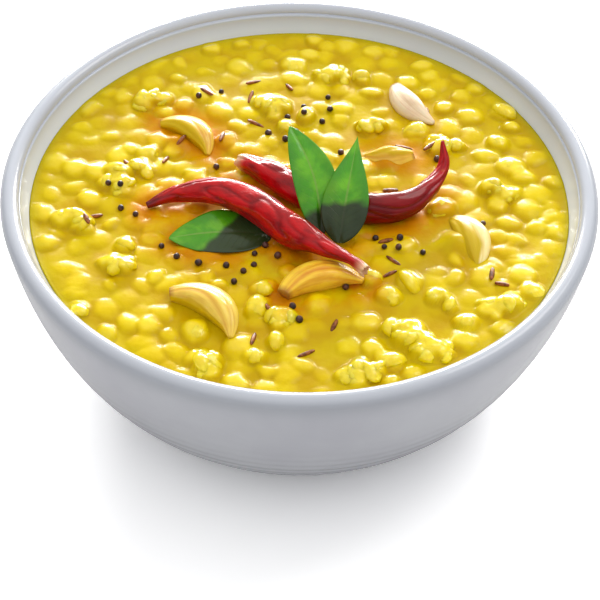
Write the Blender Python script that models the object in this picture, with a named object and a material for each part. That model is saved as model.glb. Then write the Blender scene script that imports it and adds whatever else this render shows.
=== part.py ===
"""A bowl of yellow dal with two dried red chillies, three curry leaves and six cloves of garlic.

The bowl stands on the ground at the origin, and +Z is up. Sizes are in metres. The places of the
toppings are (x, y, height), with the height measured from the level of the dal.
"""

import math

import bmesh
import bpy
import numpy as np
from mathutils import Matrix, Vector

MM = 0.001

# Bowl
RIM_RADIUS = 80.0 * MM
BOWL_HEIGHT = 66.0 * MM
BASE_RADIUS = 45.0 * MM
BELLY_RADIUS = 73.9 * MM
BELLY_HEIGHT = 18.6 * MM
LIP = 5.0 * MM
WALL = 6.4 * MM
WALL_GROWS_OVER = 8.0 * MM
FOOT_RING = 7.0 * MM
RECESS = 1.5 * MM
WALL_STEPS = 9
LIP_STEPS = 6
ROUND_STEPS = 56

# Dal
DAL_DEPTH_BELOW_RIM = 7.9 * MM
DAL_LEVEL = BOWL_HEIGHT - DAL_DEPTH_BELOW_RIM
SWELL = 0.45 * MM
SWELL_X = 9.0 * MM
SWELL_Y = 10.7 * MM
SWELL_SHIFT_X = 0.7
SWELL_SHIFT_Y = -0.4
GRAIN_BUMP = 0.7 * MM
GRAIN_PITCH = 13.0 * MM
GRAIN_SLANT = 0.38
GRAIN_SWAY = 0.85
GRAIN_SWAY_RATE = 0.34
SHORE = 6.0 * MM
DAL_RINGS = 14
DAL_SIDE_RINGS = 6
DAL_SIDE_TOP = 1.5 * MM
GAP = 0.3 * MM

# Toppings
CURVE_STEPS = 24
CHILLI_RINGS = 26
CHILLI_SIDES = 10
CHILLI_FOLDS = ((2, 0.06, 7.0), (3, 0.04, -15.0))  # folds round it, their depth, their twist
LEAF_RINGS = 11
LEAF_COLUMNS = (-1.0, -0.5, 0.0, 0.5, 1.0)
LEAF_THICKNESS = 0.6 * MM
LEAF_EDGE_THINNING = 0.5
LEAF_START = 0.02
LEAF_SPAN = 0.97
LEAF_FULLNESS = 0.7
LEAF_CUP = 1.3
CLOVE_RINGS = 11
CLOVE_SIDES = 10
CLOVE_LEAST = 0.16
CLOVE_START = 0.10
CLOVE_SPAN = 0.88
CLOVE_SKEW = 1.15
CLOVE_FULLNESS = 0.75
CLOVE_TAPER_FROM = 0.45
CLOVE_TAPER = 0.42
CLOVE_RIDGE = 0.10


def clear_scene():
    for old in list(bpy.data.objects):
        bpy.data.objects.remove(old, do_unlink=True)


def material(name, colour, roughness):
    made = bpy.data.materials.new(name)
    made.use_nodes = True
    shader = made.node_tree.nodes["Principled BSDF"]
    shader.inputs["Base Color"].default_value = (*colour, 1.0)
    shader.inputs["Roughness"].default_value = roughness
    shader.inputs["Metallic"].default_value = 0.0
    made.diffuse_color = (*colour, 1.0)
    return made


def loft(name, rings, finish):
    """A closed skin over rings of points, each end closed by a fan round its ring's middle."""
    mesh = bmesh.new()
    loops = [[mesh.verts.new(point) for point in ring] for ring in rings]
    sides = len(loops[0])
    for lower, upper in zip(loops, loops[1:]):
        for i in range(sides):
            j = (i + 1) % sides
            mesh.faces.new((lower[i], lower[j], upper[j], upper[i]))
    for loop in (loops[0], loops[-1]):
        middle = mesh.verts.new(sum((vert.co for vert in loop), Vector()) / sides)
        for i in range(sides):
            mesh.faces.new((loop[i], loop[(i + 1) % sides], middle))
    bmesh.ops.recalc_face_normals(mesh, faces=mesh.faces)
    data = bpy.data.meshes.new(name)
    mesh.to_mesh(data)
    mesh.free()
    data.materials.append(finish)
    data.shade_smooth()
    made = bpy.data.objects.new(name, data)
    bpy.context.scene.collection.objects.link(made)
    return made


def circle(radius, height):
    turns = (2.0 * math.pi * i / ROUND_STEPS for i in range(ROUND_STEPS))
    return [Vector((radius * math.cos(a), radius * math.sin(a), height)) for a in turns]


def outer_wall(step):
    """The wall's outside at step 0 (base) to 1 (lip), as radius and height, and the way inwards."""
    base = np.array((BASE_RADIUS, 0.0))
    belly = np.array((BELLY_RADIUS, BELLY_HEIGHT))
    top = np.array((RIM_RADIUS, BOWL_HEIGHT - LIP / 2))
    point = (1 - step) ** 2 * base + 2 * step * (1 - step) * belly + step**2 * top
    along = (1 - step) * (belly - base) + step * (top - belly)
    along /= np.linalg.norm(along)
    return point, np.array((-along[1], along[0]))


def inner_wall(step, clearance=0.0):
    point, inwards = outer_wall(step)
    below_lip = min(1.0, (BOWL_HEIGHT - LIP / 2 - point[1]) / WALL_GROWS_OVER)
    thickness = LIP + (WALL - LIP) * below_lip**2 * (3 - 2 * below_lip)
    return point + inwards * (thickness + clearance)


def bowl_profile():
    """Radius and height, from the recess under the base, up the outside and down to the floor."""
    profile = [
        (BASE_RADIUS - FOOT_RING - RECESS, RECESS),
        (BASE_RADIUS - FOOT_RING, 0.0),
    ]
    steps = [i / WALL_STEPS for i in range(WALL_STEPS + 1)]
    profile += [tuple(outer_wall(step)[0]) for step in steps]
    for i in range(1, LIP_STEPS):
        turn = math.pi * i / LIP_STEPS
        profile.append(
            (
                RIM_RADIUS - LIP / 2 + LIP / 2 * math.cos(turn),
                BOWL_HEIGHT - LIP / 2 + LIP / 2 * math.sin(turn),
            )
        )
    profile += [tuple(inner_wall(step)) for step in reversed(steps)]
    return profile


def make_bowl():
    finish = material("bowl_glaze", (0.62, 0.65, 0.68), 0.16)
    rings = [circle(radius, height) for radius, height in bowl_profile()]
    return loft("bowl", rings, finish)


def dal_height(x, y, edge):
    """The uneven surface: a slow swell and heaped grains, dying out along the wall."""
    swell = math.sin(x / SWELL_X + SWELL_SHIFT_X) * math.cos(y / SWELL_Y + SWELL_SHIFT_Y)
    u = (x + GRAIN_SLANT * y) / GRAIN_PITCH * math.pi
    v = (y - GRAIN_SLANT * x) / GRAIN_PITCH * math.pi
    sway_u = GRAIN_SWAY * math.sin(v * GRAIN_SWAY_RATE)
    sway_v = GRAIN_SWAY * math.sin(u * GRAIN_SWAY_RATE)
    bumps = math.sin(u + sway_u) * math.sin(v + sway_v)
    shore = min(1.0, (edge - math.hypot(x, y)) / SHORE)
    return DAL_LEVEL + shore * (SWELL * swell + GRAIN_BUMP * bumps)


def make_dal(toppings):
    """The dal fills the bowl up to its level, and is cut round what is stuck in it."""
    finish = material("dal_yellow", (0.80, 0.55, 0.02), 0.35)
    under = [tuple(inner_wall(step / CURVE_STEPS, GAP)) for step in range(CURVE_STEPS + 1)]
    radii, heights = zip(*under)
    levels = np.linspace(heights[0], DAL_LEVEL - DAL_SIDE_TOP, DAL_SIDE_RINGS)
    side = [(float(np.interp(level, heights, radii)), float(level)) for level in levels]
    edge = float(np.interp(DAL_LEVEL, heights, radii))
    rings = [circle(radius, height) for radius, height in side]
    for i in range(DAL_RINGS):
        radius = edge * (1 - i / DAL_RINGS)
        ring = circle(radius, DAL_LEVEL)
        for point in ring:
            point.z = dal_height(point.x, point.y, edge)
        rings.append(ring)
    dal = loft("dal", rings, finish)
    for topping in toppings:
        cut = dal.modifiers.new("round_" + topping.name, "BOOLEAN")
        cut.operation = "DIFFERENCE"
        cut.solver = "EXACT"
        cut.object = topping
    return dal


def smooth_route(points, count):
    """Evenly spaced points and directions along a smooth curve through the given ones."""
    p = np.array(points, dtype=float)
    p = np.vstack((2 * p[0] - p[1], p, 2 * p[-1] - p[-2]))
    fine = []
    for i in range(1, len(p) - 2):
        for t in np.linspace(0.0, 1.0, CURVE_STEPS, endpoint=False):
            fine.append(
                0.5
                * (
                    2 * p[i]
                    + (p[i + 1] - p[i - 1]) * t
                    + (2 * p[i - 1] - 5 * p[i] + 4 * p[i + 1] - p[i + 2]) * t**2
                    + (3 * p[i] - p[i - 1] - 3 * p[i + 1] + p[i + 2]) * t**3
                )
            )
    fine = np.array([*fine, p[-2]])
    run = np.concatenate(([0.0], np.cumsum(np.linalg.norm(np.diff(fine, axis=0), axis=1))))
    even = np.linspace(0.0, run[-1], count)
    route = np.column_stack([np.interp(even, run, fine[:, axis]) for axis in range(3)])
    return route, np.gradient(route, axis=0)


def chilli_rings(route, girth, grow):
    """Rings round the route. girth holds (share of the length, radius in mm)."""
    places = [(x * MM, y * MM, DAL_LEVEL + z * MM) for x, y, z in route]
    centres, directions = smooth_route(places, CHILLI_RINGS)
    shares, radii = zip(*girth)
    rings = []
    for i, (centre, direction) in enumerate(zip(centres, directions)):
        share = i / (CHILLI_RINGS - 1)
        along = Vector(direction).normalized()
        across = along.cross(Vector((0, 0, 1))).normalized()
        upwards = across.cross(along)
        radius = float(np.interp(share, shares, radii)) * MM + grow
        ring = []
        for k in range(CHILLI_SIDES):
            turn = 2 * math.pi * k / CHILLI_SIDES
            shrunk = 1.0
            for folds, depth, twist in CHILLI_FOLDS:
                shrunk += depth * math.sin(folds * turn + twist * share)
            offset = across * math.cos(turn) + upwards * math.sin(turn)
            ring.append(Vector(centre) + offset * radius * shrunk)
        rings.append(ring)
    for end, way in ((0, -1), (-1, 1)):
        along = Vector(directions[end]).normalized() * way * grow
        rings[end] = [point + along for point in rings[end]]
    return rings


def leaf_rings(base, tip, face, width, widest, fold, arch, sweep, grow):
    """Rings round a flat, pointed leaf from its base to its tip.

    face is roughly the way its upper side looks, widest the share of the length where it is
    broadest, fold how far its edges rise, arch how far its middle is bowed up, and sweep how
    far it is bowed sideways.
    """
    start = Vector((base[0], base[1], 0)) * MM + Vector((0, 0, DAL_LEVEL + base[2] * MM))
    end = Vector((tip[0], tip[1], 0)) * MM + Vector((0, 0, DAL_LEVEL + tip[2] * MM))
    along = (end - start).normalized()
    across = along.cross(Vector(face)).normalized()
    outwards = across.cross(along)
    start -= along * grow
    end += along * grow
    taper = (1 - widest) / widest
    peak = widest * (1 - widest) ** taper
    rings = []
    for i in range(LEAF_RINGS):
        share = LEAF_START + LEAF_SPAN * i / (LEAF_RINGS - 1)
        half = width / 2 * MM * (share * (1 - share) ** taper / peak) ** LEAF_FULLNESS + grow
        bow = (outwards * arch + across * sweep) * MM * math.sin(math.pi * share)
        middle = start.lerp(end, share) + bow
        upper, lower = [], []
        for side in LEAF_COLUMNS:
            raised = outwards * (fold * half * abs(side) ** LEAF_CUP)
            thinned = LEAF_THICKNESS / 2 * (1 - LEAF_EDGE_THINNING * abs(side))
            thick = outwards * (thinned + grow)
            point = middle + across * half * side + raised
            upper.append(point + thick)
            lower.insert(0, point - thick)
        rings.append(upper + lower)
    return rings


def clove_body(share):
    """How thick a clove is, as a share of its full size: blunt at the root, fine at the tip."""
    bulge = math.sin(math.pi * (CLOVE_START + CLOVE_SPAN * share) ** CLOVE_SKEW) ** CLOVE_FULLNESS
    late = max(0.0, (share - CLOVE_TAPER_FROM) / (1 - CLOVE_TAPER_FROM))
    return (CLOVE_LEAST + (1 - CLOVE_LEAST) * bulge) * (1 - CLOVE_TAPER * late**2)


def clove_rings(centre, heading, length, width, thickness, bend, lean, grow):
    """Rings along a clove that is bent like a crescent, blunt at its root end and then pointed.

    heading is the direction of its chord in degrees, bend the turn from end to end, and lean the
    roll about the chord, which lifts the outer side of the bend.
    """
    turn = math.radians(bend)
    radius = length / 2 / math.sin(turn / 2) * MM
    place = (
        Matrix.Translation((centre[0] * MM, centre[1] * MM, DAL_LEVEL + centre[2] * MM))
        @ Matrix.Rotation(math.radians(heading), 4, "Z")
        @ Matrix.Rotation(math.radians(lean), 4, "X")
        @ Matrix.Translation((0, -radius * (1 + math.cos(turn / 2)) / 2, 0))
    )
    rings = []
    for i in range(CLOVE_RINGS):
        share = i / (CLOVE_RINGS - 1)
        swing = turn * (0.5 - share) * (1 + grow / (length / 2 * MM))
        body = clove_body(share)
        ring = []
        for k in range(CLOVE_SIDES):
            spin = 2 * math.pi * k / CLOVE_SIDES
            ridge = 1 + CLOVE_RIDGE * math.cos(3 * spin)
            out = (width / 2 * MM * body * ridge + grow) * math.cos(spin)
            up = (thickness / 2 * MM * body * ridge + grow) * math.sin(spin)
            reach = radius + out
            ring.append(place @ Vector((reach * math.sin(-swing), reach * math.cos(swing), up)))
        rings.append(ring)
    return rings


CHILLIES = {
    "chilli_front": dict(
        route=[
            (-41.0, -6.0, 1.5),
            (-33.0, -3.2, 3.5),
            (-22.7, -3.6, 5.2),
            (-11.8, -9.9, 6.2),
            (-2.4, -18.8, 6.2),
            (6.1, -25.3, 6.7),
            (13.8, -30.8, 7.2),
            (17.1, -34.0, 6.6),
        ],
        girth=[
            (0.0, 0.9),
            (0.04, 1.5),
            (0.12, 2.4),
            (0.28, 3.7),
            (0.62, 4.5),
            (0.70, 4.4),
            (0.80, 2.7),
            (0.93, 1.4),
            (1.0, 1.8),
        ],
        colour=(0.50, 0.012, 0.015),
    ),
    "chilli_back": dict(
        route=[
            (-16.4, 11.2, 3.0),
            (-8.1, 5.1, 4.2),
            (-2.5, 0.3, 4.2),
            (5.4, -5.1, 4.1),
            (18.9, -7.7, 4.1),
            (29.9, -5.4, 4.5),
            (38.2, 3.9, 7.5),
            (38.3, 10.1, 13.0),
        ],
        girth=[
            (0.0, 2.5),
            (0.14, 3.9),
            (0.65, 4.0),
            (0.80, 2.8),
            (0.93, 1.4),
            (1.0, 0.4),
        ],
        colour=(0.22, 0.008, 0.012),
    ),
}

LEAVES = {
    "curry_leaf_left": dict(
        base=(-6.8, -14.9, 0.2),
        tip=(-34.4, -17.8, 0.9),
        face=(0.05, -0.10, 1.0),
        width=14.8,
        widest=0.45,
        fold=0.02,
        arch=0.2,
        sweep=1.4,
    ),
    "curry_leaf_middle": dict(
        base=(5.9, -15.7, 1.0),
        tip=(-3.1, 6.8, 19.7),
        face=(0.1, -0.6, 0.8),
        width=11.5,
        widest=0.45,
        fold=0.10,
        arch=1.6,
        sweep=2.2,
    ),
    "curry_leaf_right": dict(
        base=(10.6, -18.6, 0.9),
        tip=(15.1, 4.6, 18.9),
        face=(-0.1, -0.6, 0.8),
        width=12.5,
        widest=0.33,
        fold=0.10,
        arch=1.6,
        sweep=0.0,
    ),
}

CLOVES = {
    "garlic_front_right": dict(
        centre=(6.2, -33.7, 2.1), heading=15, length=21, width=8.5, thickness=7.0, bend=84, lean=8
    ),
    "garlic_front_left": dict(
        centre=(-22.9, -44.6, 2.0), heading=-42, length=21.5, width=8.5, thickness=7.5, bend=94, lean=10
    ),
    "garlic_right": dict(
        centre=(45.2, -15.2, -0.6), heading=-72, length=19, width=8.5, thickness=7.0, bend=60, lean=28
    ),
    "garlic_back_left": dict(
        centre=(-31.6, 24.4, 0.3), heading=-42, length=18.5, width=8.0, thickness=7.0, bend=90, lean=12
    ),
    "garlic_back_right": dict(
        centre=(31.6, 39.4, 0.8), heading=-57, length=19, width=7.5, thickness=6.5, bend=50, lean=176
    ),
    "garlic_centre": dict(
        centre=(24.6, 17.2, 0.2), heading=182, length=13.5, width=8.0, thickness=7.0, bend=40, lean=-20
    ),
}


def topping(name, make_rings, sizes, finish):
    """The piece and, hidden beside it, the shape that is cut out of the dal for it."""
    piece = loft(name, make_rings(**sizes, grow=0.0), finish)
    cutter = loft(name + "_room", make_rings(**sizes, grow=GAP), finish)
    cutter.hide_render = True
    cutter.display_type = "WIRE"
    return piece, cutter


def make_toppings():
    """All pieces that lie in the dal, as a list of the shapes to be cut out of it."""
    leaf_green = material("leaf_green", (0.06, 0.20, 0.03), 0.30)
    clove_cream = material("clove_cream", (0.80, 0.58, 0.26), 0.35)
    rooms = []
    for name, sizes in CHILLIES.items():
        sizes = dict(sizes)
        skin = material(name + "_skin", sizes.pop("colour"), 0.22)
        rooms.append(topping(name, chilli_rings, sizes, skin)[1])
    for name, sizes in LEAVES.items():
        rooms.append(topping(name, leaf_rings, sizes, leaf_green)[1])
    for name, sizes in CLOVES.items():
        rooms.append(topping(name, clove_rings, sizes, clove_cream)[1])
    return rooms


clear_scene()
make_bowl()
make_dal(make_toppings())
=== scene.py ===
# Bowl of yellow dal with chillies, curry leaves, garlic and seeds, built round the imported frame.
# Lengths are in metres. Heights of what lies in the dal are measured from its level.
import math
import random

import bmesh
import bpy
import numpy as np
from mathutils import Matrix, Quaternion, Vector, noise
from mathutils.bvhtree import BVHTree


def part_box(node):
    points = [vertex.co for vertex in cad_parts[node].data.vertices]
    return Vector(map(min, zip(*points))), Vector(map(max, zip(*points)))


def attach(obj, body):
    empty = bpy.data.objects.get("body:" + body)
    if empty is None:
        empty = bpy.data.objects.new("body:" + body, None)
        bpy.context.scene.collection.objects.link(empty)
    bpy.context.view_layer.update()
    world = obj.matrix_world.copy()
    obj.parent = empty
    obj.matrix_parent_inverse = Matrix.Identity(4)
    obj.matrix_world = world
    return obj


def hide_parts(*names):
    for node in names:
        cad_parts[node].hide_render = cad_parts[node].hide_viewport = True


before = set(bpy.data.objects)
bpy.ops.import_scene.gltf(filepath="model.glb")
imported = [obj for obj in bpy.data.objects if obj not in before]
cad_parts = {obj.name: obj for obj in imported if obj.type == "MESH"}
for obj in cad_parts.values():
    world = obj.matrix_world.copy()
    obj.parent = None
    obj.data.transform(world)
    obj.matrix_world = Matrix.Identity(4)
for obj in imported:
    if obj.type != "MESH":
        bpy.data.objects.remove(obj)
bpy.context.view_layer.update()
mm = 0.001
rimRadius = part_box("bowl")[1].x
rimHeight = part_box("bowl")[1].z
dalLevel = rimHeight - 7.9 * mm


def meshObject(name, points, faces=(), material=None):
    data = bpy.data.meshes.new(name)
    data.from_pydata([tuple(map(float, p)) for p in points], [], [tuple(map(int, f)) for f in faces])
    data.validate()
    if material:
        data.materials.append(material)
        data.shade_smooth()
    made = bpy.data.objects.new(name, data)
    bpy.context.scene.collection.objects.link(made)
    return made


def faceOutwards(data):
    # turns a closed mesh right side out, by the sign of its volume
    data.calc_loop_triangles()
    corners = np.empty(len(data.loop_triangles) * 3, np.int32)
    data.loop_triangles.foreach_get("vertices", corners)
    points = np.empty(len(data.vertices) * 3, np.float32)
    data.vertices.foreach_get("co", points)
    a, b, c = points.reshape(-1, 3)[corners.reshape(-1, 3)].astype(float).transpose(1, 0, 2)
    if np.einsum("ij,ij->", a, np.cross(b, c)) < 0:
        data.flip_normals()


def addValues(piece, name, values, kind="FLOAT"):
    # one number, or one triple, for each point
    kept = piece.data.attributes.new(name, kind, "POINT")
    kept.data.foreach_set("value" if kind == "FLOAT" else "vector", np.asarray(values, np.float32).ravel())


def addUv(piece, name, across, along):
    # a UV map from one pair of numbers for each point
    layer = piece.data.uv_layers.new(name=name)
    corners = np.empty(len(piece.data.loops), np.int32)
    piece.data.loops.foreach_get("vertex_index", corners)
    pairs = np.column_stack((np.asarray(across)[corners], np.asarray(along)[corners]))
    layer.data.foreach_set("uv", pairs.astype(np.float32).ravel())


def ringPiece(name, rings, material, uv=None, **values):
    # a closed skin over rings of points, with a fan on each end's middle point. uv is a map's name
    # and its two rows. These and the values hold one number for each point of the rings.
    rings = np.asarray(rings, float)
    count, sides = rings.shape[:2]
    points = np.vstack((rings.reshape(-1, 3), rings[0].mean(axis=0), rings[-1].mean(axis=0)))
    first, last = count * sides, count * sides + 1
    faces = []
    for k in range(sides):
        j = (k + 1) % sides
        for low in range(0, (count - 1) * sides, sides):
            faces.append((low + k, low + j, low + sides + j, low + sides + k))
        faces.append((first, j, k))
        faces.append((last, first - sides + k, first - sides + j))
    made = meshObject(name, points, faces, material)
    faceOutwards(made.data)
    if uv:
        addUv(made, uv[0], *([*row, row[0], row[-1]] for row in uv[1:]))
    for label, row in values.items():
        addValues(made, label, [*row, row[0], row[-1]])
    return made


def settle(piece, slotName, *nodes):
    # rides on the only body, and stands for the CAD nodes named
    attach(piece, "root")
    if nodes:
        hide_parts(*nodes)
    triangles = sum(len(p.vertices) - 2 for p in piece.data.polygons)
    print("made", piece.name, "with", triangles, "triangles")
    return piece


def srgb(r, g, b):
    # a colour given as 0 to 255 on screen, as the linear one that shaders take
    channels = [v / 255 for v in (r, g, b)]
    return tuple(v / 12.92 if v <= 0.04045 else ((v + 0.055) / 1.055) ** 2.4 for v in channels) + (1.0,)


def smooth(share):
    # eases a share from 0 to 1
    return share * share * (3 - 2 * share)


class Tree:
    # short ways to add nodes to a tree
    def __init__(self, tree):
        self.tree = tree

    def node(self, kind, **settings):
        made = self.tree.nodes.new(kind)
        for key, value in settings.items():
            setattr(made, key, value)
        return made

    def link(self, source, target):
        self.tree.links.new(source, target)

    def use(self, kind, inputs, output=0, **settings):
        # adds a node, sets or links its inputs, and gives one of its outputs
        made = self.node(kind, **settings)
        for key, value in inputs.items():
            if isinstance(value, bpy.types.NodeSocket):
                self.link(value, made.inputs[key])
            else:
                made.inputs[key].default_value = value
        return made.outputs[output]

    def math(self, operation, a, b=0.0):
        return self.use("ShaderNodeMath", {0: a, 1: b}, operation=operation)

    def times(self, a, b):
        return self.math("MULTIPLY", a, b)

    def remap(self, value, low, high, toLow=0.0, toHigh=1.0, easing="SMOOTHSTEP"):
        ends = {"Value": value, "From Min": low, "From Max": high, "To Min": toLow, "To Max": toHigh}
        return self.use("ShaderNodeMapRange", ends, "Result", interpolation_type=easing)

    def clouds(self, vector, size, detail):
        scale = self.math("DIVIDE", 1.0, size)
        return self.use("ShaderNodeTexNoise", {"Vector": vector, "Scale": scale, "Detail": detail}, "Fac")

    def split(self, vector):
        made = self.node("ShaderNodeSeparateXYZ")
        self.link(vector, made.inputs[0])
        return made.outputs

    def dimmedTo(self, a, b):
        # b to the camera itself and a to all other light
        path = self.node("ShaderNodeLightPath").outputs["Is Camera Ray"]
        return self.use("ShaderNodeMix", {"Factor": path, "A": a, "B": b}, "Result")


cameraSet = {
    "distance": 0.460,
    "elevation": 42.64,   # degrees above the horizon
    "aim": (0.7 * mm, -38.35 * mm),
    "belowRim": 8.0 * mm,
    "lens": 101.42,
    "sensor": 36.0,
    "roll": 1.45,
}


def makeCamera(s):
    lift = math.radians(s["elevation"])
    height = rimHeight - s["belowRim"]
    place = Vector((0, -math.cos(lift) * s["distance"], height + math.sin(lift) * s["distance"]))
    back = place - Vector((*s["aim"], height))
    cam = bpy.data.objects.new("camera", bpy.data.cameras.new("camera"))
    bpy.context.scene.collection.objects.link(cam)
    cam.data.lens = s["lens"]
    cam.data.sensor_width = s["sensor"]
    cam.data.clip_start = 10 * mm
    cam.location = place
    cam.rotation_mode = "QUATERNION"
    cam.rotation_quaternion = back.to_track_quat("Z", "Y") @ Quaternion((0, 0, 1), math.radians(s["roll"]))
    bpy.context.scene.camera = cam


studio = {
    # name, where it hangs (azimuth, elevation), distance, size, power in watts, colour
    "softboxes": [
        ("backStrip", (-4, 14), 1.10, (0.70, 0.22), 15.0, (1.0, 0.99, 0.97)),
        ("keyRight", (60, 56), 1.20, (0.50, 0.50), 3.5, (1.0, 0.99, 0.97)),
    ],
    # a wide low window behind the bowl that only shows in wet and glossy things
    "glints": ("glints", (10, 15), 1.10, (1.00, 0.30), 28.0, (1.0, 0.985, 0.95)),
    "zenith": 1.34,
    "horizon": 0.04,
    "floor": 1.40,          # a lit table, so lighter than white paper
    "floorBounce": 0.58,    # what it throws back onto the bowl
    "floorSpan": 6.0,
}


def makeSky(s):
    # white overhead and dim at the horizon, as under one very large soft box
    world = bpy.data.worlds.new("studio")
    world.use_nodes = True
    f = Tree(world.node_tree)
    back = f.tree.nodes["Background"]
    back.inputs["Color"].default_value = srgb(255, 255, 255)
    height = f.split(f.node("ShaderNodeTexCoord").outputs["Generated"])["Z"]
    light = f.remap(height, 0.0, 1.0, s["horizon"], s["zenith"], easing="LINEAR")
    # the camera itself sees plain white beyond the table
    f.link(f.dimmedTo(light, 1.0), back.inputs["Strength"])
    return world


def hangLight(name, place, distance, size, power, colour):
    # azimuth 0 is straight behind the bowl, 90 to its right
    a, e = map(math.radians, place)
    way = Vector((math.sin(a) * math.cos(e), math.cos(a) * math.cos(e), math.sin(e)))
    light = bpy.data.lights.new(name, "AREA")
    light.shape = "RECTANGLE"
    light.size, light.size_y = size
    light.energy = power
    light.color = colour
    box = bpy.data.objects.new(name, light)
    bpy.context.scene.collection.objects.link(box)
    box.location = Vector((0, 0, dalLevel)) + way * distance
    box.rotation_mode = "QUATERNION"
    box.rotation_quaternion = way.to_track_quat("Z", "Y")
    return box


def makeStudio(s):
    scene = bpy.context.scene
    scene.view_settings.view_transform = "Standard"
    scene.view_settings.look = "None"
    scene.world = makeSky(s)
    for softbox in s["softboxes"]:
        hangLight(*softbox)
    hangLight(*s["glints"]).visible_diffuse = False
    made = bpy.data.materials.new("paperFloor")
    made.use_nodes = True
    f = Tree(made.node_tree)
    f.tree.nodes.remove(f.tree.nodes["Principled BSDF"])
    shade = f.dimmedTo(s["floorBounce"], s["floor"])
    paper = f.use("ShaderNodeBsdfDiffuse", {"Color": shade}, "BSDF")
    f.link(paper, f.tree.nodes["Material Output"].inputs["Surface"])
    span = s["floorSpan"]
    corners = [(-span, -span, 0), (span, -span, 0), (span, span, 0), (-span, span, 0)]
    floor = meshObject("floor", corners, [(0, 1, 2, 3)], made)


def shaderGroup(name, output, **inputs):
    # an empty shader group that takes a vector and numbers, and gives one number
    tree = bpy.data.node_groups.new(name, "ShaderNodeTree")
    tree.interface.new_socket("Vector", in_out="INPUT", socket_type="NodeSocketVector")
    for label, value in inputs.items():
        socket = tree.interface.new_socket(label, in_out="INPUT", socket_type="NodeSocketFloat")
        socket.default_value = value
    tree.interface.new_socket(output, in_out="OUTPUT", socket_type="NodeSocketFloat")
    g = Tree(tree)
    return g, g.node("NodeGroupInput").outputs, g.node("NodeGroupOutput").inputs[output]


def blotchGroup():
    # soft patches between 0 and 1, for uneven colour
    g, given, out = shaderGroup("blotches", "Mask", Size=0.01, Low=0.4, High=0.6)
    clouds = g.clouds(given["Vector"], given["Size"], 4.0)
    g.link(g.remap(clouds, given["Low"], given["High"]), out)
    return g.tree


def ripplesGroup():
    # fine uneven relief of a wet or glazed skin, as a height
    g, given, out = shaderGroup("ripples", "Height", Size=0.002, Coarse=0.5)
    fine = g.clouds(given["Vector"], given["Size"], 2.0)
    wide = g.clouds(given["Vector"], g.math("DIVIDE", given["Size"], 0.3), 2.0)
    g.link(g.use("ShaderNodeMix", {"Factor": given["Coarse"], "A": fine, "B": wide}, "Result"), out)
    return g.tree


blotches, ripples = blotchGroup(), ripplesGroup()


class Finish(Tree):
    # a material under construction
    def __init__(self, name, **sockets):
        self.material = bpy.data.materials.new(name)
        self.material.use_nodes = True
        super().__init__(self.material.node_tree)
        self.shader = self.tree.nodes["Principled BSDF"]
        self.shader.inputs["IOR"].default_value = 1.45
        for label, value in sockets.items():
            self.shader.inputs[label.replace("_", " ")].default_value = value

    def place(self):
        return self.node("ShaderNodeTexCoord").outputs["Object"]

    def uv(self, name):
        return self.node("ShaderNodeUVMap", uv_map=name).outputs["UV"]

    def value(self, name):
        return self.node("ShaderNodeAttribute", attribute_name=name).outputs["Fac"]

    def stretched(self, vector, scale, shift=(0.0, 0.0, 0.0)):
        return self.use("ShaderNodeMapping", {"Vector": vector, "Scale": scale, "Location": shift})

    def patches(self, vector, size, low, high):
        inputs = {"Vector": vector, "Size": size, "Low": low, "High": high}
        return self.use("ShaderNodeGroup", inputs, node_tree=blotches)

    def relief(self, vector, size, coarse):
        given = {"Vector": vector, "Size": size, "Coarse": coarse}
        return self.use("ShaderNodeGroup", given, node_tree=ripples)

    def mix(self, factor, a, b):
        return self.use("ShaderNodeMix", {"Factor": factor, 6: a, 7: b}, 2, data_type="RGBA")

    def bump(self, height, strength, distance):
        return self.use("ShaderNodeBump", {"Height": height, "Strength": strength, "Distance": distance})

    def feed(self, socket, source):
        self.link(source, self.shader.inputs[socket])

    def glow(self, weight, radius, scale):
        # light that soaks into the food
        self.shader.inputs["Subsurface Weight"].default_value = weight
        self.shader.inputs["Subsurface Radius"].default_value = radius
        self.shader.inputs["Subsurface Scale"].default_value = scale


bowl = {
    "baseRadius": 45.0 * mm,
    "belly": (73.9 * mm, 18.6 * mm),   # the point that pulls the wall's curve outwards
    "lip": 5.0 * mm,
    "wall": 6.4 * mm,
    "wallGrowsOver": 8.0 * mm,
    "footRing": 7.0 * mm,
    "footBend": 1.2 * mm,
    "recess": 1.5 * mm,
    "ridgeDepth": 0.34 * mm,
    "ridgePitch": 4.4 * mm,
    "ridgesTo": 0.72,                  # share of the height at which the ridges have died out
    "glaze": srgb(221, 223, 230),
    "glazeShade": srgb(210, 211, 220),
    # painted light: the glaze inside the bowl is made lighter and bluer than outside
    "inside": srgb(226, 234, 249),
    "lipShade": srgb(176, 181, 190),       # painted shade, greyer and darker, over the lip
}


def outerWall(step):
    # the outside at step 0, the base, to 1, the lip, with the way inwards
    base = np.array((bowl["baseRadius"], 0.0))
    belly = np.array(bowl["belly"])
    top = np.array((rimRadius, rimHeight - bowl["lip"] / 2))
    point = (1 - step) ** 2 * base + 2 * step * (1 - step) * belly + step**2 * top
    along = (1 - step) * (belly - base) + step * (top - belly)
    along = along / np.linalg.norm(along)
    return point, np.array((-along[1], along[0]))


def innerWall(step):
    point, inwards = outerWall(step)
    below = min(1.0, (rimHeight - bowl["lip"] / 2 - point[1]) / bowl["wallGrowsOver"])
    return point + inwards * (bowl["lip"] + (bowl["wall"] - bowl["lip"]) * smooth(below))


def innerRadius(height, steps=60):
    radii, heights = zip(*(innerWall(i / steps) for i in range(steps + 1)))
    return float(np.interp(height, heights, radii))


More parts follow.
